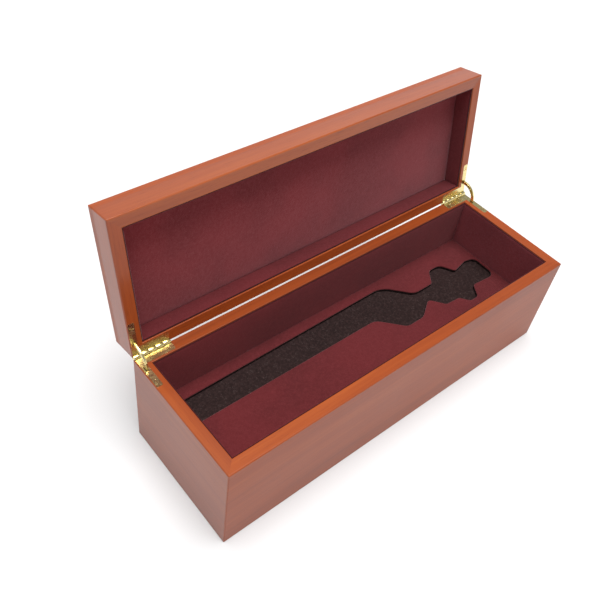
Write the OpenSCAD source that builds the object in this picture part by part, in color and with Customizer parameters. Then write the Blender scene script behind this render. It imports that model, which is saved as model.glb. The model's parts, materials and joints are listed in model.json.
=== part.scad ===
// Long hinged presentation case: a mitred wooden box with a shallow lid, velvet linings,
// a velvet insert board with a shaped recess over dark foam, and two quadrant hinges
// let into the back corners. Millimetres. The origin is under the middle of the base,
// +X along the length, +Y to the back, +Z up. The lid is drawn open.

/* [Case] */
// Outside length of the case
box_l = 350; // [280:1:430]
// Outside width of the case, front to back
box_w = 113; // [92:1:160]
// Height of the base, from its rest face to its rim
base_h = 90; // [74:1:130]
// Height of the lid, from its rim to its outer face
lid_h = 23.5; // [22:0.5:40]
// Thickness of the side walls
wall = 9.5; // [9:0.5:13]
// Thickness of the floor panel
floor_t = 5; // [3:0.5:8]
// How far the floor panel runs under the walls
floor_lap = 4.5; // [2:0.5:6]
// Thickness of the lid's top panel
lid_top_t = 6; // [4:0.5:7]
// Radius on the outer edges
edge_r = 1; // [0.5:0.1:1.5]
// Radius on the inner edge of each rim
rim_r = 0.6; // [0.3:0.1:1]

/* [Lid motion] */
// Angle between the two rims when the lid rests on its stops
lid_open = 100; // [90:1:105]
// Gap between the two rims when the lid is shut
rim_gap = 0.3; // [0.2:0.05:1]

/* [Linings] */
// Thickness of a velvet-covered lining card
lining_t = 1; // [0.6:0.1:2]
// How far each lining stops below its rim
lining_drop = 0.8; // [0.3:0.1:3]
// Thickness of the padded panel in the lid
pad_t = 2; // [1:0.5:4]
// Clearance round the panel in the lid and round the insert
card_fit = 0.4; // [0.2:0.1:1]

/* [Insert] */
// Depth of the insert's face below the rim
insert_drop = 44; // [30:1:55]
// Thickness of the velvet-covered insert board, which is the depth of the recess
insert_t = 3; // [2:0.5:8]
// Distance from the recess to the left end of the insert
recess_left = 4; // [3:0.5:20]

/* [Hinges] */
// Length of each leg of a leaf, from the corner of the case
leg_l = 30; // [28:1:38]
// Width of the leg that carries the barrel
leg_w = 7.4; // [6.2:0.1:7.8]
// Width of the leg along the end of the case
side_leg_w = 5; // [4.6:0.1:6.5]
// Distance from a leaf's edge to the end face of the case
leg_inset = 0.7; // [0.5:0.1:1]
// Thickness of a leaf
leaf_t = 1.5; // [1.2:0.1:2]
// Distance from the back face of the case to the hinge axis
pin_back = 0.1; // [0:0.1:2]
// Outer radius of the barrel
barrel_r = 2.2; // [1.9:0.1:2.5]
// Radius of the hinge pin
pin_r = 0.9; // [0.6:0.1:1.1]
// Radial clearance of the pin in its knuckles
pin_fit = 0.1; // [0.05:0.01:0.2]
// Number of knuckles in a barrel
knuckles = 5; // [3:2:7]
// Gap between two knuckles, and past the ends of the barrel
knuckle_gap = 0.3; // [0.2:0.1:0.6]
// Radial clearance round the barrel
barrel_fit = 0.25; // [0.2:0.05:0.4]

/* [Quadrant arms] */
// Radius of an arm's centre line about the hinge axis
arm_r = 12.5; // [11.5:0.5:15]
// Width of an arm, along that radius
arm_w = 2.8; // [1.8:0.1:3]
// Thickness of an arm
arm_t = 1.5; // [1:0.1:2]
// Clearance between an arm and its pocket
arm_fit = 0.35; // [0.25:0.05:0.5]
// Angle of arm that stays in each pocket when the lid is open
arm_hold = 12; // [8:1:15]

/* [Screws] */
// Radius of a screw's shank
screw_r = 1; // [0.8:0.1:1.2]
// Radius of its countersunk head
head_r = 1.9; // [1.6:0.1:2.2]
// Length of a screw
screw_l = 9; // [6:0.5:11]
// Width of the slot in its head
slot_w = 0.5; // [0.4:0.1:0.7]
// Clearance between a screw and its hole
screw_fit = 0.05; // [0.03:0.01:0.1]

/* [Hidden] */
$fn = 48;
// Margin that a cutter reaches past a face
over = 1;

// Lid
lid_rail_h = lid_h - lid_top_t;
lid_foot = base_h - lid_rail_h;

// Insert
inner_l = box_l - 2 * wall;
inner_w = box_w - 2 * wall;
insert_l = inner_l - 2 * lining_t - 2 * card_fit;
insert_w = inner_w - 2 * lining_t - 2 * card_fit;
insert_z = base_h - insert_drop;
foam_top = insert_z - insert_t;

// Corners of the recess: distance in from the insert's right end, distance in from its
// back edge, and corner radius. A long channel swells into a grip, narrows to a neck
// and ends in a head with an upper lobe, a lower lobe and a blunt tip.
arc_steps = 8;
recess_back = 11;
recess_front = 34;
recess_end_r = 4;
recess_corners = [
    [105, 8.3, 22], [84, 30.4, 12],
    [61.5, 30.4, 4], [52, 17.6, 6.5], [38.5, 17.6, 8], [30.5, 31, 3],
    [13, 27.2, 8], [2.2, 29.5, 6], [2.6, 55, 7],
    [30, 52.8, 4], [38, 65, 5], [47.5, 65, 5], [54, 56.6, 4], [69.3, 55.6, 4],
    [79.5, 42.6, 4], [98, 54.6, 12], [117, 54.6, 8], [136.5, 34, 12]
];

// Hinges
pin_y = box_w / 2 + pin_back;
pin_z = base_h + rim_gap / 2;
relief_r = barrel_r + barrel_fit;
barrel_l = leg_l - leg_inset;
knuckle_l = (barrel_l - (knuckles - 1) * knuckle_gap) / knuckles;
side_mid = leg_inset + side_leg_w / 2;
leaf_end_r = 1.2;
arm_half = lid_open / 2 + arm_hold;
pocket_end = 4;
head_t = head_r - screw_r;
slot_d = 0.45;
// Screws of one leaf: distance from the end face, distance from the back face. The two in
// the long leg stand midway between the barrel and the leg's edge.
first_screw = 12;
last_screw = leg_l - 4.5;
beside_barrel = (relief_r - pin_back + leg_inset + leg_w) / 2;
screw_spots = [
    [first_screw, beside_barrel], [last_screw, beside_barrel], [side_mid, last_screw]
];

wood = [0.66, 0.29, 0.14];
velvet = [0.42, 0.10, 0.13];
foam = [0.17, 0.15, 0.15];
brass = [0.86, 0.71, 0.32];
screw_brass = [0.80, 0.68, 0.36];

// ---- Places -------------------------------------------------------------------------

// The lid is drawn as a tray like the base, with its rim at the height of the base's rim,
// then turned over onto the base and swung open about the hinge axis.
module to_lid() {
    translate([0, pin_y, pin_z])
        rotate([-lid_open, 0, 0])
            translate([0, -pin_y, pin_z])
                mirror([0, 0, 1])
                    children();
}

// Parts of the left hinge, which the right hinge mirrors
module to_right() {
    mirror([1, 0, 0]) children();
}

// Turns a wall drawn for the back to another side
module to_side(side) {
    turn = side == "back" ? 0 : side == "left" ? 90 : side == "front" ? 180 : 270;
    rotate([0, 0, turn]) children();
}

// ---- Walls --------------------------------------------------------------------------

function along(side) = side == "back" || side == "front" ? box_l : box_w;
function across(side) = side == "back" || side == "front" ? box_w : box_l;

// What a rounded corner loses, with the corner at the origin and the stock in +X +Y
module corner_cut(r) {
    difference() {
        translate([-over, -over]) square(r + over);
        translate([r, r]) circle(r);
    }
}

// Section of a wall: inner face at 0, outer face at the wall's thickness
module wall_section(foot, lap, lap_h, foot_r) {
    difference() {
        translate([0, foot]) square([wall, base_h - foot]);
        translate([wall, base_h]) rotate(180) corner_cut(edge_r);
        translate([0, base_h]) rotate(-90) corner_cut(rim_r);
        if (foot_r > 0) translate([wall, foot]) rotate(90) corner_cut(foot_r);
        if (lap > 0) translate([-over, foot - over]) square([lap + over, lap_h + over]);
    }
}

// One mitred wall of a tray, with the hinge cuts where they meet it
module tray_wall(side, foot, lap = 0, lap_h = 0, foot_r = 0) {
    run = along(side);
    out = across(side) / 2;
    difference() {
        to_side(side) difference() {
            intersection() {
                translate([-run / 2, out - wall, 0]) rotate([90, 0, 90])
                    linear_extrude(run) wall_section(foot, lap, lap_h, foot_r);
                translate([0, 0, foot]) linear_extrude(base_h - foot)
                    polygon([
                        [-run / 2, out], [run / 2, out],
                        [run / 2 - wall, out - wall], [-run / 2 + wall, out - wall]
                    ]);
            }
            translate([0, 0, foot - over]) linear_extrude(base_h - foot + 2 * over) {
                translate([run / 2, out]) rotate(180) corner_cut(edge_r);
                translate([-run / 2, out]) rotate(-90) corner_cut(edge_r);
            }
        }
        if (side == "back" || side == "left") hinge_cuts();
        if (side == "back" || side == "right") to_right() hinge_cuts();
    }
}

module base_wall(side) {
    tray_wall(side, 0, floor_lap, floor_t, edge_r);
}

module lid_wall(side) {
    to_lid() tray_wall(side, lid_foot);
}

// ---- Linings and insert -------------------------------------------------------------

// A lining card: the long walls take full-length cards, the ends fit between them
module lining(side, foot) {
    long = side == "back" || side == "front";
    run = long ? inner_l : inner_w - 2 * lining_t;
    out = across(side) / 2 - wall;
    to_side(side)
        translate([-run / 2, out - lining_t, foot])
            cube([run, lining_t, base_h - lining_drop - foot]);
}

function unit(v) = v / norm(v);

// Arc of radius r that rounds corner p between its neighbours a and b
function corner_arc(p, a, b, r) =
    let (
        u = unit(a - p),
        v = unit(b - p),
        half = acos(u * v) / 2,
        centre = p + unit(u + v) * r / sin(half),
        first = p + u * r / tan(half) - centre,
        last = p + v * r / tan(half) - centre,
        start = atan2(first.y, first.x),
        sweep = (atan2(last.y, last.x) - start + 540) % 360 - 180
    )
    [for (i = [0 : arc_steps]) centre + r * [cos(start + sweep * i / arc_steps),
                                             sin(start + sweep * i / arc_steps)]];

// Outline of the recess on the insert's face
module recess_outline() {
    left = insert_l - recess_left;
    corners = concat([[left, recess_back, recess_end_r]], recess_corners,
                     [[left, recess_front, recess_end_r]]);
    spots = [for (c = corners) [insert_l / 2 - c.x, insert_w / 2 - c.y]];
    n = len(spots);
    polygon([for (i = [0 : n - 1])
        each corner_arc(spots[i], spots[(i + n - 1) % n], spots[(i + 1) % n], corners[i].z)]);
}

// ---- Hinges -------------------------------------------------------------------------

// Outline of a leaf at the left back corner, out to the hinge axis
module leaf_outline() {
    translate([-box_l / 2, box_w / 2]) {
        translate([leg_inset, -leg_inset - leg_w])
            rounded_bar(leg_l - leg_inset, leg_inset + leg_w + pin_back, false);
        translate([leg_inset, -leg_l])
            rounded_bar(side_leg_w, leg_l, true);
    }
}

// A bar with its low right corner rounded, and its low left one too if both are asked for
module rounded_bar(l, w, both) {
    difference() {
        square([l, w]);
        translate([l, 0]) rotate(90) corner_cut(leaf_end_r);
        if (both) corner_cut(leaf_end_r);
    }
}

// A round bar on the hinge axis, from a distance in from the end face
module on_axis(from, length, r) {
    translate([-box_l / 2 + from, pin_y, pin_z]) rotate([0, 90, 0]) cylinder(length, r, r);
}

// Part of a ring about the hinge axis, between two angles up from the line to the front
module ring_part(first, last, r, w, t) {
    reach = 2 * (r + w);
    step = (last - first) / 4;
    intersection() {
        difference() {
            on_axis(side_mid - t / 2, t, r + w / 2);
            on_axis(side_mid - t / 2 - over, t + 2 * over, r - w / 2);
        }
        translate([-box_l / 2 + side_mid - t / 2 - over, pin_y, pin_z]) rotate([90, 0, 90])
            linear_extrude(t + 2 * over)
                polygon(concat([[0, 0]],
                    [for (i = [0 : 4]) reach * [-cos(first + i * step), sin(first + i * step)]]));
    }
}

// Space that an arm needs in one tray
module arm_pocket() {
    ring_part(-arm_half - pocket_end, 10, arm_r, arm_w + 2 * arm_fit, arm_t + 2 * arm_fit);
}

module at_screws() {
    for (s = screw_spots) translate([-box_l / 2 + s.x, box_w / 2 - s.y, base_h]) children();
}

// Countersunk holes for the screws, through the leaf and into the wood
module screw_holes() {
    at_screws() {
        translate([0, 0, -screw_l - screw_fit])
            cylinder(screw_l + over, screw_r + screw_fit, screw_r + screw_fit);
        translate([0, 0, -head_t])
            cylinder(head_t + screw_fit, screw_r + screw_fit, head_r + 2 * screw_fit);
    }
}

// Everything that a hinge needs cut from the wood of a tray
module hinge_cuts() {
    translate([0, 0, base_h - leaf_t]) linear_extrude(leaf_t + over) leaf_outline();
    on_axis(leg_inset - knuckle_gap, barrel_l + 2 * knuckle_gap, relief_r);
    arm_pocket();
    screw_holes();
}

// A leaf with every second knuckle, from the first or the second on
module leaf(first_knuckle) {
    pitch = knuckle_l + knuckle_gap;
    difference() {
        union() {
            difference() {
                translate([0, 0, base_h - leaf_t]) linear_extrude(leaf_t) leaf_outline();
                for (i = [1 - first_knuckle : 2 : knuckles - 1])
                    on_axis(leg_inset + i * pitch - knuckle_gap, knuckle_l + 2 * knuckle_gap,
                            relief_r);
            }
            for (i = [first_knuckle : 2 : knuckles - 1])
                on_axis(leg_inset + i * pitch, knuckle_l, barrel_r);
        }
        on_axis(leg_inset - over, barrel_l + 2 * over, pin_r + pin_fit);
        for (i = [first_knuckle : 2 : knuckles - 2])
            on_axis(leg_inset + i * pitch + knuckle_l, knuckle_gap, relief_r);
        arm_pocket();
        screw_holes();
    }
}

module screws() {
    at_screws() difference() {
        union() {
            translate([0, 0, -head_t]) cylinder(head_t, screw_r, head_r);
            translate([0, 0, -screw_l]) cylinder(screw_l - head_t, screw_r, screw_r);
        }
        rotate(30) translate([-head_r - over, -slot_w / 2, -slot_d])
            cube([2 * head_r + 2 * over, slot_w, slot_d + over]);
    }
}

module hinge_pin() {
    on_axis(leg_inset, barrel_l, pin_r);
}

module quadrant_arm() {
    ring_part(-arm_hold, lid_open + arm_hold, arm_r, arm_w, arm_t);
}

// ---- Sub-parts ----------------------------------------------------------------------

module base_front_panel() { color(wood) base_wall("front"); }
module base_back_panel() { color(wood) base_wall("back"); }
module base_left_end() { color(wood) base_wall("left"); }
module base_right_end() { color(wood) base_wall("right"); }

module base_floor_panel() {
    l = inner_l + 2 * floor_lap;
    w = inner_w + 2 * floor_lap;
    color(wood) translate([-l / 2, -w / 2, 0]) cube([l, w, floor_t]);
}

module base_front_lining() { color(velvet) lining("front", floor_t); }
module base_back_lining() { color(velvet) lining("back", floor_t); }
module base_left_lining() { color(velvet) lining("left", floor_t); }
module base_right_lining() { color(velvet) lining("right", floor_t); }

module insert_foam() {
    color(foam) translate([-insert_l / 2, -insert_w / 2, floor_t])
        cube([insert_l, insert_w, foam_top - floor_t]);
}

module insert_board() {
    color(velvet) translate([0, 0, foam_top]) linear_extrude(insert_t) difference() {
        square([insert_l, insert_w], center = true);
        recess_outline();
    }
}

module lid_front_rail() { color(wood) lid_wall("front"); }
module lid_back_rail() { color(wood) lid_wall("back"); }
module lid_left_rail() { color(wood) lid_wall("left"); }
module lid_right_rail() { color(wood) lid_wall("right"); }

// The top panel's section across one way, with its outer edges rounded
module top_section(l) {
    difference() {
        translate([-l / 2, 0]) square([l, lid_top_t]);
        translate([-l / 2, 0]) corner_cut(edge_r);
        translate([l / 2, 0]) rotate(90) corner_cut(edge_r);
    }
}

module lid_top_panel() {
    color(wood) to_lid() translate([0, 0, lid_foot - lid_top_t]) difference() {
        intersection() {
            translate([-box_l / 2, 0, 0]) rotate([90, 0, 90])
                linear_extrude(box_l) top_section(box_w);
            translate([0, box_w / 2, 0]) rotate([90, 0, 0])
                linear_extrude(box_w) top_section(box_l);
        }
        translate([0, 0, -over]) linear_extrude(lid_top_t + 2 * over) {
            translate([box_l / 2, box_w / 2]) rotate(180) corner_cut(edge_r);
            translate([-box_l / 2, box_w / 2]) rotate(-90) corner_cut(edge_r);
            translate([-box_l / 2, -box_w / 2]) corner_cut(edge_r);
            translate([box_l / 2, -box_w / 2]) rotate(90) corner_cut(edge_r);
        }
    }
}

module lid_front_lining() { color(velvet) to_lid() lining("front", lid_foot); }
module lid_back_lining() { color(velvet) to_lid() lining("back", lid_foot); }
module lid_left_lining() { color(velvet) to_lid() lining("left", lid_foot); }
module lid_right_lining() { color(velvet) to_lid() lining("right", lid_foot); }

module lid_pad() {
    color(velvet) to_lid() translate([-insert_l / 2, -insert_w / 2, lid_foot])
        cube([insert_l, insert_w, pad_t]);
}

module left_base_leaf() { color(brass) leaf(0); }
module left_lid_leaf() { color(brass) to_lid() leaf(1); }
module left_hinge_pin() { color(screw_brass) hinge_pin(); }
module left_quadrant_arm() { color(brass) quadrant_arm(); }
module left_base_screws() { color(screw_brass) screws(); }
module left_lid_screws() { color(screw_brass) to_lid() screws(); }

module right_base_leaf() { color(brass) to_right() leaf(0); }
module right_lid_leaf() { color(brass) to_right() to_lid() leaf(1); }
module right_hinge_pin() { color(screw_brass) to_right() hinge_pin(); }
module right_quadrant_arm() { color(brass) to_right() quadrant_arm(); }
module right_base_screws() { color(screw_brass) to_right() screws(); }
module right_lid_screws() { color(screw_brass) to_right() to_lid() screws(); }

base_front_panel();
base_back_panel();
base_left_end();
base_right_end();
base_floor_panel();
base_front_lining();
base_back_lining();
base_left_lining();
base_right_lining();
insert_foam();
insert_board();
lid_front_rail();
lid_back_rail();
lid_left_rail();
lid_right_rail();
lid_top_panel();
lid_front_lining();
lid_back_lining();
lid_left_lining();
lid_right_lining();
lid_pad();
left_base_leaf();
left_lid_leaf();
left_hinge_pin();
left_quadrant_arm();
left_base_screws();
left_lid_screws();
right_base_leaf();
right_lid_leaf();
right_hinge_pin();
right_quadrant_arm();
right_base_screws();
right_lid_screws();
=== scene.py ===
# A long hinged presentation case: stained hardwood, velvet linings, a velvet insert board
# cut to shape over dark foam, and two brass quadrant hinges. Built up around the packed
# frame in the order that a box maker puts it together. Metres, +X along the length,
# +Y to the hinged back, +Z up.
import json
import math

import bmesh
import bpy
import numpy as np
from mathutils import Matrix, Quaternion, Vector


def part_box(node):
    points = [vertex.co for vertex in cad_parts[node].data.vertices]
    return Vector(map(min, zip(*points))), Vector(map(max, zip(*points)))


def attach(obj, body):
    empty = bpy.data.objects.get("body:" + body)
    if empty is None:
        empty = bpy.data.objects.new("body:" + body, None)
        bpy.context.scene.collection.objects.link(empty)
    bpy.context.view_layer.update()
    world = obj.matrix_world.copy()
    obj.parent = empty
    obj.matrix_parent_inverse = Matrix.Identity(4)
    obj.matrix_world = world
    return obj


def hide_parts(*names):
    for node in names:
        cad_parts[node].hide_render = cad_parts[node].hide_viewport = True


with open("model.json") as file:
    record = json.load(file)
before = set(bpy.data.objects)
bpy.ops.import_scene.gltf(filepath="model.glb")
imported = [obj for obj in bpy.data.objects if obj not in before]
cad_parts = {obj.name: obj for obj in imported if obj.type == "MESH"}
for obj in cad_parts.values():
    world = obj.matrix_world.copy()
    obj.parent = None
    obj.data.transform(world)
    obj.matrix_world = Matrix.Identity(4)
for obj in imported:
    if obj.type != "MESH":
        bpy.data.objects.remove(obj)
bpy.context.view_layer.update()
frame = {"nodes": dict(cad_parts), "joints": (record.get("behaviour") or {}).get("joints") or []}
mm = 0.001

# ---- The base walls and floor ---------------------------------------------------------
# Four mitred boards of a close-grained hardwood, glued round a floor panel that is let
# into their lower edges. Stained red-brown and sprayed with a satin lacquer. The rounded
# edges and the mortises for the hinges are the frame's own.


class Flow:
    """One value, colour or vector on its way through a material's nodes."""

    def __init__(self, tree, socket):
        self.tree = tree
        self.socket = socket

    def node(self, kind, feeds, settings=None, out=0):
        """Adds a node with its settings first, then the values or links of its inputs, and
        gives one of its outputs."""
        made = self.tree.nodes.new(kind)
        for key, value in (settings or {}).items():
            setattr(made, key, value)
        for key, value in feeds.items():
            if isinstance(value, Flow):
                self.tree.links.new(value.socket, made.inputs[key])
            else:
                made.inputs[key].default_value = value
        return Flow(self.tree, made.outputs[out])

    def maths(self, operation, first, second=0.0):
        return self.node("ShaderNodeMath", {0: first, 1: second}, {"operation": operation})

    def __add__(self, other):
        return self.maths("ADD", self, other)

    def __radd__(self, other):
        return self.maths("ADD", other, self)

    def __sub__(self, other):
        return self.maths("SUBTRACT", self, other)

    def __rsub__(self, other):
        return self.maths("SUBTRACT", other, self)

    def __mul__(self, other):
        return self.maths("MULTIPLY", self, other)

    def __rmul__(self, other):
        return self.maths("MULTIPLY", other, self)

    def measure(self, direction):
        """How far this place lies along a direction."""
        feeds = {0: self, 1: tuple(float(v) for v in direction)}
        return self.node("ShaderNodeVectorMath", feeds, {"operation": "DOT_PRODUCT"}, out=1)

    def noise(self, scale, detail=2.0, roughness=0.5):
        """Soft noise from 0 to 1 at this place, with scale cells to the metre."""
        feeds = {"Vector": self, "Scale": scale, "Detail": detail, "Roughness": roughness}
        return self.node("ShaderNodeTexNoise", feeds)

    def step(self, low, high):
        """0 below low, 1 above high, and a smooth rise between them."""
        feeds = {"Value": self, "From Min": low, "From Max": high}
        return self.node("ShaderNodeMapRange", feeds, {"interpolation_type": "SMOOTHSTEP"})

    def blend(self, first, second):
        """One colour turning into another as this value goes from 0 to 1."""
        feeds = {0: self, 6: first, 7: second}
        return self.node("ShaderNodeMix", feeds, {"data_type": "RGBA"}, out=2)

    def bump(self, depth, strength=1.0):
        """A bumped normal from this height, depth metres from 0 to 1."""
        feeds = {"Height": self, "Distance": depth, "Strength": strength}
        return self.node("ShaderNodeBump", feeds)


def finish_of(name, constants):
    """A new material with its shader's constant sockets set. Gives the material, a function
    that links what varies, and the place on the object."""
    material = bpy.data.materials.new(name)
    material.use_nodes = True
    tree = material.node_tree
    shader = tree.nodes["Principled BSDF"]
    for key, value in constants.items():
        shader.inputs[key].default_value = value
    place = Flow(tree, tree.nodes.new("ShaderNodeTexCoord").outputs["Object"])

    def vary(**flows):
        for key, flow in flows.items():
            tree.links.new(flow.socket, shader.inputs[key.replace("_", " ")])

    return material, vary, place


def rgb(red, green, blue):
    return (red, green, blue, 1.0)


wood_dark = rgb(0.236, 0.0410, 0.0066)
wood_mid = rgb(0.315, 0.0578, 0.0091)
wood_light = rgb(0.380, 0.0790, 0.0129)
wood_pore = rgb(0.137, 0.0228, 0.0053)


def lacquered_wood(name, grain, across, shift, uptake_and_shade, lacquer):
    """Stained hardwood under satin lacquer, for a board whose grain runs along one given direction
    and whose width runs along another. Boards take stain and lacquer unevenly, so each has its own
    uptake and thickness of lacquer; on some boards the uptake also scales the colour as painted
    shade and painted light."""
    material, vary, place = finish_of(name, {
        "Specular IOR Level": 0.30, "Coat Weight": lacquer, "Coat Roughness": 0.14})
    through = np.cross(grain, across)

    along, side, deep = place.measure(grain), place.measure(across), place.measure(through)

    def stretched(lengthwise, crosswise):
        """The place on the board, in cells along the grain and across it."""
        feeds = {0: (along + shift) * lengthwise, 1: side * crosswise, 2: deep * crosswise}
        return place.node("ShaderNodeCombineXYZ", feeds)

    ribbon = stretched(3.0, 34.0).noise(1.0, 2.0)
    fibre = stretched(11.0, 430.0).noise(1.0, 4.0, 0.6)
    pore = stretched(75.0, 1500.0).noise(1.0, 2.0).step(0.60, 0.70)
    tone = ribbon * 0.6 + fibre * 0.4
    stain = tone.step(0.30, 0.52).blend(wood_dark, wood_mid)
    stain = tone.step(0.48, 0.70).blend(stain, wood_light)
    stain = stain.node("ShaderNodeVectorMath", {0: stain, 1: (uptake_and_shade, uptake_and_shade, uptake_and_shade)},
                       {"operation": "MULTIPLY"})
    cloud = place.noise(9.0, 2.0)
    vary(
        Base_Color=(pore * 0.35).blend(stain, wood_pore),
        Roughness=0.30 + cloud * 0.14,
        Normal=(fibre * 0.6 - pore * 0.5 + cloud * 0.4).bump(0.04 * mm, 0.5),
    )
    return material


def finish_node(name, material):
    """A frame node keeps its shape and takes this material on all its faces."""
    mesh = frame["nodes"][name].data
    mesh.materials.clear()
    mesh.materials.append(material)


X, Y, Z = np.eye(3)
thin_coat = 0.08
# Board, grain, width, place along its plank, uptake of stain, weight of lacquer. The back panel's
# uptake is lowered as painted shade from the open lid that stands over it.
for board, grain, across, shift, uptake_and_shade, lacquer in (
        ("base_front_panel", X, Z, 0.11, 0.93, 0.04),
        ("base_back_panel", X, Z, 0.57, 0.76, thin_coat),
        ("base_left_end", Y, Z, 0.23, 0.88, 0.30),
        ("base_right_end", Y, Z, 0.81, 0.94, thin_coat),
        ("base_floor_panel", X, Y, 0.37, 1.0, thin_coat)):
    wood_name = board.rsplit("_", 1)[0] + "_wood"
    finish_node(board, lacquered_wood(wood_name, grain, across, shift, uptake_and_shade, lacquer))

# ---- The foam under the insert ----------------------------------------------------------
# A block of dark, open-celled foam with pale flecks in it, cut to fill the base below the
# insert board. Its top shows through the recess, so it has the sawn surface of real foam.


def rounded_section(length, width, radius, steps, spacing):
    """Points round a rectangle with rounded corners, centred on zero: quarter circles of
    the radius joined by straight runs, which are split at about the spacing."""
    half = np.array([length, width]) / 2 - radius
    ring = []
    for turn in range(4):
        angle = np.radians(90 * turn) + np.linspace(0, np.pi / 2, steps + 1)
        corner = half * np.array([[1, 1], [-1, 1], [-1, -1], [1, -1]])[turn]
        arc = corner + radius * np.column_stack([np.cos(angle), np.sin(angle)])
        ring.append(arc)
        following = half * np.array([[-1, 1], [-1, -1], [1, -1], [1, 1]])[turn]
        last = following + radius * np.array([np.cos(angle[-1]), np.sin(angle[-1])])
        count = max(int(np.linalg.norm(last - arc[-1]) / spacing), 1)
        share = np.linspace(0, 1, count + 1)[1:-1, None]
        ring.append(arc[-1] + (last - arc[-1]) * share)
    return np.concatenate(ring)


def slab(low, high, radius, spacing, steps=3):
    """A box with all its edges rounded, as a grid of points. Its section across X is a
    rounded rectangle, carried along X; at each end it draws in along a quarter circle and
    then closes flat to a pole."""
    low, high = np.array(low), np.array(high)
    size = high - low
    angle = np.linspace(0, np.pi / 2, steps + 1)
    inset = radius * (1 - np.sin(angle))
    reach = radius * (1 - np.cos(angle))
    count = max(int((size[0] - 2 * radius) / spacing), 1)
    middle = np.linspace(radius, size[0] - radius, count + 1)[1:-1]
    xs = np.concatenate([[0], reach, middle, size[0] - reach[::-1], [size[0]]])
    insets = np.concatenate([[radius], inset, 0 * middle, inset[::-1], [radius]])
    shrink = np.ones(len(xs))
    shrink[[0, -1]] = 0
    outer = rounded_section(size[1], size[2], radius, steps, spacing)
    core = np.clip(outer, -(size[1:] / 2 - radius), size[1:] / 2 - radius)
    rows = core + (outer - core) * (1 - insets / radius)[:, None, None]
    rows = rows * shrink[:, None, None]
    centre = (low + high) / 2
    grid = np.empty(rows.shape[:2] + (3,))
    grid[..., 0] = low[0] + xs[:, None]
    grid[..., 1] = centre[1] + rows[..., 0]
    grid[..., 2] = centre[2] + rows[..., 1]
    return grid


def piece_of(name, grid, material, body, stands_for, loop_rows=False):
    """Makes a piece from a grid of points, closed along its second way and, if asked, its
    first. Poles and seams are merged and the faces are turned outwards."""
    rows, cols = grid.shape[:2]
    row, col = np.meshgrid(np.arange(rows - (not loop_rows)), np.arange(cols), indexing="ij")
    below, beside = (row + 1) % rows, (col + 1) % cols
    quads = np.stack([row * cols + col, row * cols + beside,
                      below * cols + beside, below * cols + col], axis=-1).reshape(-1, 4)
    mesh = bpy.data.meshes.new(name)
    mesh.vertices.add(rows * cols)
    mesh.vertices.foreach_set("co", grid.reshape(-1))
    mesh.loops.add(quads.size)
    mesh.loops.foreach_set("vertex_index", quads.reshape(-1))
    mesh.polygons.add(len(quads))
    mesh.polygons.foreach_set("loop_start", np.arange(0, quads.size, 4))
    mesh.update(calc_edges=True)
    edit = bmesh.new()
    edit.from_mesh(mesh)
    bmesh.ops.remove_doubles(edit, verts=edit.verts, dist=1e-7)
    bmesh.ops.recalc_face_normals(edit, faces=edit.faces)
    edit.to_mesh(mesh)
    edit.free()
    mesh.shade_smooth()
    mesh.materials.append(material)
    piece = bpy.data.objects.new(name, mesh)
    bpy.context.scene.collection.objects.link(piece)
    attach(piece, body)
    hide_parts(stands_for)
    return piece


def ripples(x, y, seed, longest):
    """Smooth unevenness from -1 to 1: the mean of nine sine waves with directions, phases
    and lengths drawn from the seed, the longest given."""
    draw = np.random.default_rng(seed)
    total = np.zeros(np.broadcast(x, y).shape)
    for _ in range(9):
        heading = draw.uniform(0, 2 * np.pi)
        number = 2 * np.pi / (longest * draw.uniform(0.35, 1))
        total += np.sin(number * (x * np.cos(heading) + y * np.sin(heading))
                        + draw.uniform(0, 2 * np.pi))
    return total / 9


def speckled_foam():
    """Nearly black foam: open cells of about a millimetre, and pale flecks among them."""
    material, vary, place = finish_of("speckled_foam", {
        "Roughness": 0.85, "Specular IOR Level": 0.22})
    cells = place.node("ShaderNodeTexVoronoi", {"Vector": place, "Scale": 1100.0})
    flecks = place.node("ShaderNodeTexVoronoi", {"Vector": place, "Scale": 1150.0})
    grain = place.noise(520.0, 3.0, 0.7)
    shown = (0.36 - flecks).step(0.0, 0.16) * place.noise(260.0).step(0.50, 0.62)
    cloud = place.noise(28.0).blend(rgb(0.007, 0.0022, 0.0020), rgb(0.016, 0.0058, 0.0052))
    body = grain.step(0.35, 0.75).blend(cloud, rgb(0.028, 0.0130, 0.0120))
    vary(
        Base_Color=(shown * 0.6).blend(body, rgb(0.085, 0.062, 0.058)),
        Normal=(cells * 0.7 + grain * 0.8).bump(0.5 * mm, 0.8),
    )
    return material


foam_low, foam_high = (np.array(v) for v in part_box("insert_foam"))
foam_edge_r, foam_spacing = 1.0 * mm, 1.3 * mm
# The sawn face lies a hair below the insert board, so its waves don't reach into it
saw_height, saw_length, saw_below = 0.12 * mm, 9 * mm, 0.14 * mm
foam_grid = slab(foam_low, foam_high, foam_edge_r, foam_spacing)
foam_face = foam_grid[..., 2] > foam_high[2] - 0.01 * mm
sawn = saw_height * ripples(foam_grid[..., 0], foam_grid[..., 1], 11, saw_length)
foam_grid[..., 2] += np.where(foam_face, sawn - saw_below, 0)
foam_finish = speckled_foam()
foam_piece = piece_of("foam_block", foam_grid, foam_finish, "base", "insert_foam")

# ---- The linings of the base ------------------------------------------------------------
# Thin cards wrapped in burgundy velvet and glued to the inner walls. The velvet has a
# short, dense pile that lies a little differently from patch to patch.

brim_shade_band, brim_shade_fade = 1.0 * mm, 0.5 * mm
card_edge_r, card_spacing, card_margin = 0.42 * mm, 3 * mm, 1.5 * mm
card_wave, card_wave_length = 0.07 * mm, 60 * mm


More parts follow.
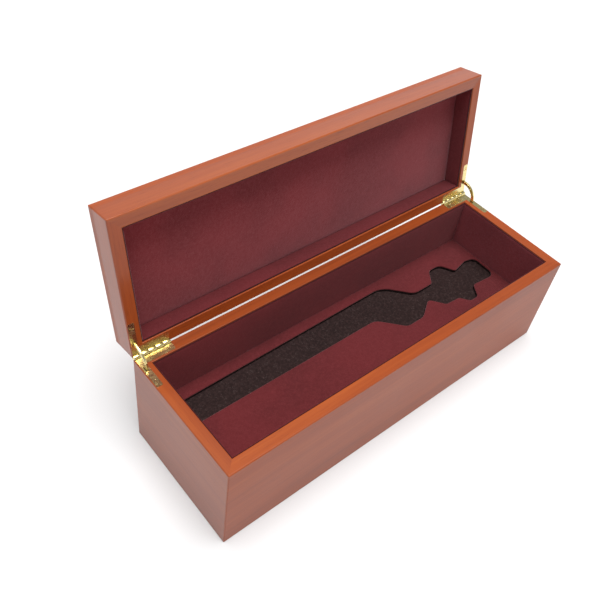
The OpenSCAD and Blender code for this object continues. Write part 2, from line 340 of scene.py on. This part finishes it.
def velvet(name, nap, ground, tip, sheen, up=Z, brim=1.0):
    """Short-pile burgundy velvet. The pile is fine noise, its lie is a slow cloud, and the stray
    light on its tips is the shader's own sheen. The nap moves the noise, so that two cloths differ.
    In a band just below the brim, a level in the up direction, the colour turns near black: painted
    shade over the cards' top edges, where the overhead light falls."""
    material, vary, place = finish_of(name, {
        "Specular IOR Level": 0.15, "Sheen Weight": sheen, "Sheen Roughness": 0.45,
        "Sheen Tint": rgb(0.95, 0.72, 0.76)})
    moved = place.node("ShaderNodeVectorMath", {0: place, 1: (nap, nap, nap)})
    lie = moved.noise(16.0, 3.0, 0.55)
    tuft = moved.noise(1500.0, 2.0, 0.7)
    weave = moved.noise(420.0, 2.0, 0.6)
    deep = lie.step(0.34, 0.66).blend(ground, tuple(1.3 * v for v in ground[:3]) + (1.0,))
    tips = (tuft * 0.6 + weave * 0.4).step(0.35, 0.75)
    # Painted shade: a near-black band below the brim, darkening the lit top edges of the cards
    brim_shade = (place.measure(up) - (brim - brim_shade_band)).step(0.0, brim_shade_fade)
    dark = rgb(0.022, 0.0030, 0.0035)
    vary(
        Base_Color=(brim_shade * 0.85).blend((tips * 0.55).blend(deep, tip), dark),
        Roughness=0.86 + lie * 0.12,
        Normal=(tuft * 0.7 + weave * 0.5).bump(0.35 * mm, 0.7),
    )
    return material


def lining_grid(low, high, seed):
    """A wrapped card that stands on edge, with its length along X or Y: a slab whose two
    broad faces wave by less than a tenth of a millimetre."""
    size = high - low
    if size[1] > size[0]:
        grid = slab(low[[1, 0, 2]], high[[1, 0, 2]], card_edge_r, card_spacing)[..., [1, 0, 2]]
        thin = 0
    else:
        grid = slab(low, high, card_edge_r, card_spacing)
        thin = 1
    level = grid[..., 2]
    inside = np.minimum(level - low[2], high[2] - level) > card_margin
    wave = card_wave * ripples(grid[..., 1 - thin], level, seed, card_wave_length)
    grid[..., thin] += np.where(inside, wave, 0)
    return grid


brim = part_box("base_front_lining")[1][2]
# A lighter copy of the velvet than the insert's: painted light on the lining cards, whose inner
# walls stand in shade
base_velvet_painted_light = velvet("base_velvet_painted_light", 0.0, rgb(0.155, 0.0150, 0.0170), rgb(0.275, 0.038, 0.042),
                     sheen=0.16, brim=brim)
# The right end takes a paler copy of the velvet still: painted light standing in for the haze on
# that wall
end_velvet_painted_light = velvet("end_velvet_painted_light", 0.9, rgb(0.240, 0.0440, 0.0510), rgb(0.370, 0.105, 0.120),
                    sheen=0.25, brim=brim)
for seed, (side, cloth) in enumerate((("front", base_velvet_painted_light), ("back", base_velvet_painted_light),
                                      ("left", base_velvet_painted_light), ("right", end_velvet_painted_light))):
    node = f"base_{side}_lining"
    low, high = (np.array(v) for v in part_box(node))
    piece_of(f"{node}_velvet", lining_grid(low, high, seed), cloth, "base", node)

# ---- The insert board ---------------------------------------------------------------
# A firm sheet of the dark foam faced with velvet, with a recess cut right through to the
# shape of what the case was made for: a long channel that swells into a grip, a neck, and
# a head with an upper lobe, a lower lobe and a blunt tip. The cut edge shows bare foam.

board_low, board_high = (np.array(v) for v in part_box("insert_board"))
board_size = board_high - board_low
channel_left, channel_back, channel_front, channel_r = 4 * mm, 11 * mm, 34 * mm, 4 * mm
channel_end = board_size[0] - channel_left
# Each corner of the recess: distance in from the right end, from the back, and radius
recess = np.array([
    [105, 8.3, 22], [84, 30.4, 12], [61.5, 30.4, 4], [52, 17.6, 6.5], [38.5, 17.6, 8],
    [30.5, 31, 3], [13, 27.2, 8], [2.2, 29.5, 6], [2.6, 55, 7], [30, 52.8, 4], [38, 65, 5],
    [47.5, 65, 5], [54, 56.6, 4], [69.3, 55.6, 4], [79.5, 42.6, 4], [98, 54.6, 12],
    [117, 54.6, 8], [136.5, 34, 12]]) * mm
recess = np.vstack([[channel_end, channel_back, channel_r], recess,
                    [channel_end, channel_front, channel_r]])
# The two corners of the recess at its tip, as places in the list
head_back, head_front = 8, 9
facing_t, crown = 1.0 * mm, 0.25 * mm
velvet_lip_r, foam_lip_r, board_edge_r, board_corner_r = 0.7 * mm, 0.1 * mm, 0.3 * mm, 3 * mm
cut_spacing, crown_ripple = 1.6 * mm, 45 * mm


def turned_outline(corners, spacing):
    """Points round a closed outline of straight runs and arcs. Each corner's arc has its
    centre on the corner's bisector, radius / sin(half the corner's angle) away, and touches
    the runs radius / tan(half) from the corner. Also gives each arc's middle point."""
    before = np.roll(corners, 1, axis=0)[:, :2] - corners[:, :2]
    after = np.roll(corners, -1, axis=0)[:, :2] - corners[:, :2]
    before /= np.linalg.norm(before, axis=1)[:, None]
    after /= np.linalg.norm(after, axis=1)[:, None]
    half = np.arccos((before * after).sum(axis=1)) / 2
    toward = before + after
    toward /= np.linalg.norm(toward, axis=1)[:, None]
    centres = corners[:, :2] + toward * (corners[:, 2] / np.sin(half))[:, None]
    starts = corners[:, :2] + before * (corners[:, 2] / np.tan(half))[:, None] - centres
    turn = np.cross(before, after)
    sweep = -np.sign(turn) * (np.pi - 2 * half)
    ring, middles, count = [], [], 0
    for spot in range(len(corners)):
        parts = 2 * max(int(corners[spot, 2] * abs(sweep[spot]) / spacing), 3)
        angle = np.arctan2(starts[spot, 1], starts[spot, 0]) + np.linspace(0, sweep[spot], parts + 1)
        arc = centres[spot] + corners[spot, 2] * np.column_stack([np.cos(angle), np.sin(angle)])
        following = (spot + 1) % len(corners)
        run = centres[following] + starts[following] - arc[-1]
        share = np.linspace(0, 1, max(int(np.linalg.norm(run) / spacing), 1) + 1)[1:-1, None]
        middles.append(count + parts // 2)
        ring += [arc, arc[-1] + run * share]
        count += len(arc) + len(share)
    return np.concatenate(ring), middles


def cut_sheet(low, high, lip_r, edge_r, swelling):
    """A sheet between two levels, as rings round its recess. Each ring starts as the
    recess's outline: up the wall, over a quarter circle along the outline's normal, then
    straight across the top to the matching place on the sheet's edge, down that and back
    underneath. The top swells by the given height between the two."""
    inward, middles = turned_outline(recess, cut_spacing)
    outline = board_high[:2] - inward
    way = np.roll(outline, -1, axis=0) - np.roll(outline, 1, axis=0)
    way /= np.linalg.norm(way, axis=1)[:, None]
    normal = np.column_stack([-way[:, 1], way[:, 0]])
    # The outline's four stretches, between the middles of its end corners, each go to the
    # whole of the board's side that faces them
    half = board_size[:2] / 2
    places = np.arange(len(outline))
    cuts = [middles[0], middles[head_back], middles[head_front], middles[-1]]
    places = (places - cuts[0]) % len(outline)
    cuts = [(cut - cuts[0]) % len(outline) for cut in cuts] + [len(outline)]
    sides = [(0, [-1, 1], [1, 1]), (1, [1, 1], [1, -1]), (0, [1, -1], [-1, -1]),
             (1, [-1, -1], [-1, 1])]
    edge = np.zeros_like(outline)
    for first, last, (axis, start, end) in zip(cuts[:-1], cuts[1:], sides):
        chosen = (places >= first) & (places < last)
        along = outline[:, axis]
        begin = along[places == first][0]
        finish = along[places == last % len(outline)][0]
        share = np.clip((along[chosen] - begin) / (finish - begin), 0, 1)[:, None]
        edge[chosen] = half * (np.array(start) + (np.array(end) - np.array(start)) * share)
    core = np.clip(edge, -(half - board_corner_r), half - board_corner_r)
    outward = edge - core
    outward /= np.linalg.norm(outward, axis=1)[:, None]
    middle = (board_low + board_high)[:2] / 2

    def side(inset):
        return middle + core + (board_corner_r - inset) * outward

    rings = [(outline, low + (high - lip_r - low) * share) for share in (0, 0.25, 0.5, 0.75)]
    for angle in np.radians([0, 20, 40, 60, 80]):
        rings.append((outline + lip_r * (1 - np.cos(angle)) * normal,
                      high - lip_r * (1 - np.sin(angle))))
    lip, rim = outline + lip_r * normal, side(edge_r)
    for share in (1 - np.cos(np.linspace(0, np.pi, 26))) / 2:
        spot = lip + (rim - lip) * share
        swell = swelling * (1 - (2 * share - 1) ** 4 + 0.35 * ripples(*spot.T, 5, crown_ripple))
        rings.append((spot, high + swell * min(1, 6 * share, 6 * (1 - share))))
    for angle in np.radians([20, 45, 70, 90]):
        rings.append((side(edge_r * (1 - np.sin(angle))), high - edge_r * (1 - np.cos(angle))))
    for angle in np.radians([0, 30, 60, 90]):
        rings.append((side(edge_r * (1 - np.cos(angle))), low + edge_r * (1 - np.sin(angle))))
    for share in (0.3, 0.7):
        rings.append((rim + (outline - rim) * share, low))
    return np.array([np.column_stack([spot, level + 0 * spot[:, 0]]) for spot, level in rings])


# A darker copy of the velvet: painted shade on the insert's face, which lies open to the overhead
# light
insert_velvet_painted_shade = velvet("insert_velvet", 0.3, rgb(0.075, 0.0090, 0.0105), rgb(0.150, 0.025, 0.028),
                       sheen=0.33)
facing_low = board_high[2] - facing_t
facing_grid = cut_sheet(facing_low, board_high[2], velvet_lip_r, board_edge_r, crown)
facing_piece = piece_of("insert_velvet", facing_grid, insert_velvet_painted_shade, "base",
                        "insert_board", loop_rows=True)
sheet_grid = cut_sheet(board_low[2], facing_low, foam_lip_r, board_edge_r, 0)
sheet_piece = piece_of("insert_foam_sheet", sheet_grid, foam_finish, "base",
                       "insert_board", loop_rows=True)

# ---- The lid's rails and top panel --------------------------------------------------------
# The lid is a shallow tray of the same wood: four mitred rails with a panel let in flush
# over them. It stands open at rest, leaning back on its two hinges.

hinge_joint = next(joint for joint in frame["joints"] if joint["name"] == "lid_hinge")
pivot = np.array(hinge_joint["pos_m"])
lid_turn = math.radians(hinge_joint["range_deg"][1])
cosine, sine = math.cos(lid_turn), math.sin(lid_turn)
to_open = np.array([[1, 0, 0], [0, cosine, sine], [0, -sine, cosine]])


def closed_box(node):
    """The lowest and highest corners of one of the lid's nodes as they lie with the lid
    shut: its points turned back about the hinge's axis."""
    points = np.empty(3 * len(frame["nodes"][node].data.vertices))
    frame["nodes"][node].data.vertices.foreach_get("co", points)
    shut = pivot + (points.reshape(-1, 3) - pivot) @ to_open
    return shut.min(axis=0), shut.max(axis=0)


def opened(grid):
    """Points on the shut lid, turned about the hinge's axis to where they are at rest."""
    return pivot + (grid - pivot) @ to_open.T


lid_y, lid_z = to_open @ Y, to_open @ Z
# Same columns as the base's. The left rail's uptake is raised above one as painted light, for the
# brighter haze on that rail.
for board, grain, across, shift, uptake_and_shade, lacquer in (
        ("lid_front_rail", X, lid_z, 0.49, 0.92, 0.55),
        ("lid_back_rail", X, lid_z, 0.93, 1.0, thin_coat),
        ("lid_left_rail", lid_y, lid_z, 0.05, 1.06, 0.45),
        ("lid_right_rail", lid_y, lid_z, 0.68, 1.04, thin_coat),
        ("lid_top_panel", X, lid_y, 0.77, 1.0, thin_coat)):
    wood_name = board.rsplit("_", 1)[0] + "_wood"
    finish_node(board, lacquered_wood(wood_name, grain, across, shift, uptake_and_shade, lacquer))

# ---- The lid's linings and pad --------------------------------------------------------------
# The same wrapped cards line the rails, and a thin velvet pad covers the whole of the
# panel between them. The pad is a little fuller in the middle than at its edges.

lid_brim = pivot @ lid_z + closed_box("lid_front_lining")[0][2] - pivot[2]
# Lit and shaded copies of the velvet: a lighter one as painted light on the pad and the side
# linings, which face forward, and a darker one as painted shade on the back lining, which faces up
# with the lid open
lid_velvet_painted_light = velvet("lid_velvet_painted_light", 0.6, rgb(0.160, 0.0175, 0.0205), rgb(0.275, 0.055, 0.063),
                    sheen=0.50, up=-lid_z, brim=-lid_brim)
sill_velvet_painted_shade = velvet("sill_velvet_painted_shade", 1.2, rgb(0.085, 0.0100, 0.0120), rgb(0.160, 0.028, 0.032),
                     sheen=0.25, up=-lid_z, brim=-lid_brim)
for seed, (side, cloth) in enumerate((("front", lid_velvet_painted_light), ("back", sill_velvet_painted_shade),
                                      ("left", lid_velvet_painted_light), ("right", lid_velvet_painted_light))):
    node = f"lid_{side}_lining"
    low, high = closed_box(node)
    piece_of(f"{node}_velvet", opened(lining_grid(low, high, seed + 20)), cloth,
             "lid", node)

pad_low, pad_high = closed_box("lid_pad")
pad_grow, pad_edge_r, pad_spacing = 0.3 * mm, 0.5 * mm, 3 * mm
pad_crown, pad_ripple, pad_ripple_length = 0.7 * mm, 0.2 * mm, 80 * mm
pad_low[:2] -= pad_grow
pad_high[:2] += pad_grow
pad_grid = slab(pad_low, pad_high, pad_edge_r, pad_spacing, steps=4)
pad_middle, pad_half = (pad_low + pad_high) / 2, (pad_high - pad_low) / 2
pad_share = np.abs(pad_grid[..., :2] - pad_middle[:2]) / pad_half[:2]
pad_swell = (1 - pad_share[..., 0] ** 8) * (1 - pad_share[..., 1] ** 6)
pad_waves = ripples(pad_grid[..., 0], pad_grid[..., 1], 8, pad_ripple_length)
pad_swell = pad_swell * (pad_crown + pad_ripple * pad_waves)
pad_grid[..., 2] -= np.where(pad_grid[..., 2] < pad_middle[2], pad_swell, 0)
pad_piece = piece_of("lid_pad_velvet", opened(pad_grid), lid_velvet_painted_light, "lid", "lid_pad")

# ---- The hinges -----------------------------------------------------------------------------
# Two quadrant hinges of polished brass plate. Each has an L-shaped leaf let flush into the
# base's rim and one into the lid's, knuckles round a pin, a curved stay that slides into
# both, and small slotted screws.


def brass(name, colour, deep, polish):
    """Polished brass under clear lacquer: a soft cloud of tarnish, smears that roughen the
    polish, and hair scratches too fine to cast a shadow."""
    material, vary, place = finish_of(name, {"Metallic": 1.0})
    tarnish = place.noise(60.0, 3.0, 0.6)
    smear = place.noise(340.0, 3.0, 0.65)
    hair = place.noise(2600.0, 2.0, 0.6)
    vary(
        Base_Color=tarnish.step(0.35, 0.7).blend(deep, colour),
        Roughness=polish + smear.step(0.35, 0.75) * 0.10,
        Normal=(smear * 0.7 + hair * 0.15).bump(0.02 * mm, 0.2),
    )
    return material


hinge_finish = brass("hinge_brass", rgb(0.90, 0.78, 0.40), rgb(0.80, 0.66, 0.30), 0.20)
screw_finish = brass("screw_brass", rgb(0.84, 0.70, 0.37), rgb(0.68, 0.52, 0.24), 0.22)
seam_gap, worn_width = 0.01 * mm, 0.16 * mm
for side in ("left", "right"):
    for part in ("base_leaf", "lid_leaf", "hinge_pin", "quadrant_arm"):
        finish_node(f"{side}_{part}", hinge_finish)
        piece = frame["nodes"][f"{side}_{part}"]
        seam = piece.modifiers.new("seam", "WELD")
        seam.merge_threshold = seam_gap
        worn = piece.modifiers.new("worn", "BEVEL")
        worn.width = worn_width
        worn.segments = 2
        worn.limit_method = "ANGLE"
        worn.angle_limit = math.radians(40)
        worn.harden_normals = True
    for part in ("base_screws", "lid_screws"):
        finish_node(f"{side}_{part}", screw_finish)

# ---- The table it stands on, the light and the camera ---------------------------------------
# A wide pale sheet under one broad overhead light, in a studio that is brighter behind the
# case and to its right. The camera stands a little to the left of the front and well above,
# and is tipped clockwise.

floor_reach = 3.0
floor_grid = floor_reach * np.array([[-1, -1, 0], [1, -1, 0], [1, 1, 0], [-1, 1, 0]])
floor_mesh = bpy.data.meshes.new("floor")
floor_mesh.from_pydata(floor_grid.tolist(), [], [(0, 1, 2, 3)])
floor = bpy.data.objects.new("floor", floor_mesh)
bpy.context.scene.collection.objects.link(floor)
floor_finish, vary, place = finish_of("pale_sheet", {
    "Specular IOR Level": 0.2, "Emission Color": rgb(1.0, 1.0, 1.0), "Emission Strength": 0.12})
vary(Base_Color=place.noise(6.0).blend(rgb(0.60, 0.60, 0.60), rgb(0.63, 0.63, 0.63)),
     Roughness=0.75 + place.noise(30.0) * 0.1)
floor_mesh.materials.append(floor_finish)

world = bpy.data.worlds.new("studio")
bpy.context.scene.world = world
world.use_nodes = True
sky = Flow(world.node_tree, world.node_tree.nodes.new("ShaderNodeTexCoord").outputs["Generated"])
height = sky.node("ShaderNodeSeparateXYZ", {0: sky}, out=2)
behind = sky.measure((0.90, 0.30, 0.0))
backdrop = behind.step(-0.95, 0.45).blend(rgb(0.12, 0.12, 0.13), rgb(1.3, 1.3, 1.32))
glow = height.step(0.08, 0.50).blend(backdrop, rgb(0.30, 0.30, 0.31))
world.node_tree.links.new(glow.socket, world.node_tree.nodes["Background"].inputs["Color"])

overhead = bpy.data.lights.new("overhead", "SUN")
overhead.energy = 4.1
overhead.angle = math.radians(40)
overhead_at = bpy.data.objects.new("overhead", overhead)
overhead_at.rotation_euler = (math.radians(4), 0, 0)
bpy.context.scene.collection.objects.link(overhead_at)

view = bpy.data.cameras.new("camera")
view.lens = 44.35
view.sensor_width = 36
camera = bpy.data.objects.new("camera", view)
camera_at, camera_aim = Vector((-0.3265, -0.2385, 0.4984)), Vector((-0.0238, 0.0524, 0.0651))
camera.location = camera_at
camera.rotation_mode = "QUATERNION"
facing = (camera_aim - camera_at).to_track_quat("-Z", "Y")
camera.rotation_quaternion = facing @ Quaternion((0, 0, 1), math.radians(9.1))
bpy.context.scene.collection.objects.link(camera)
bpy.context.scene.camera = camera
bpy.context.scene.view_settings.view_transform = "Standard"
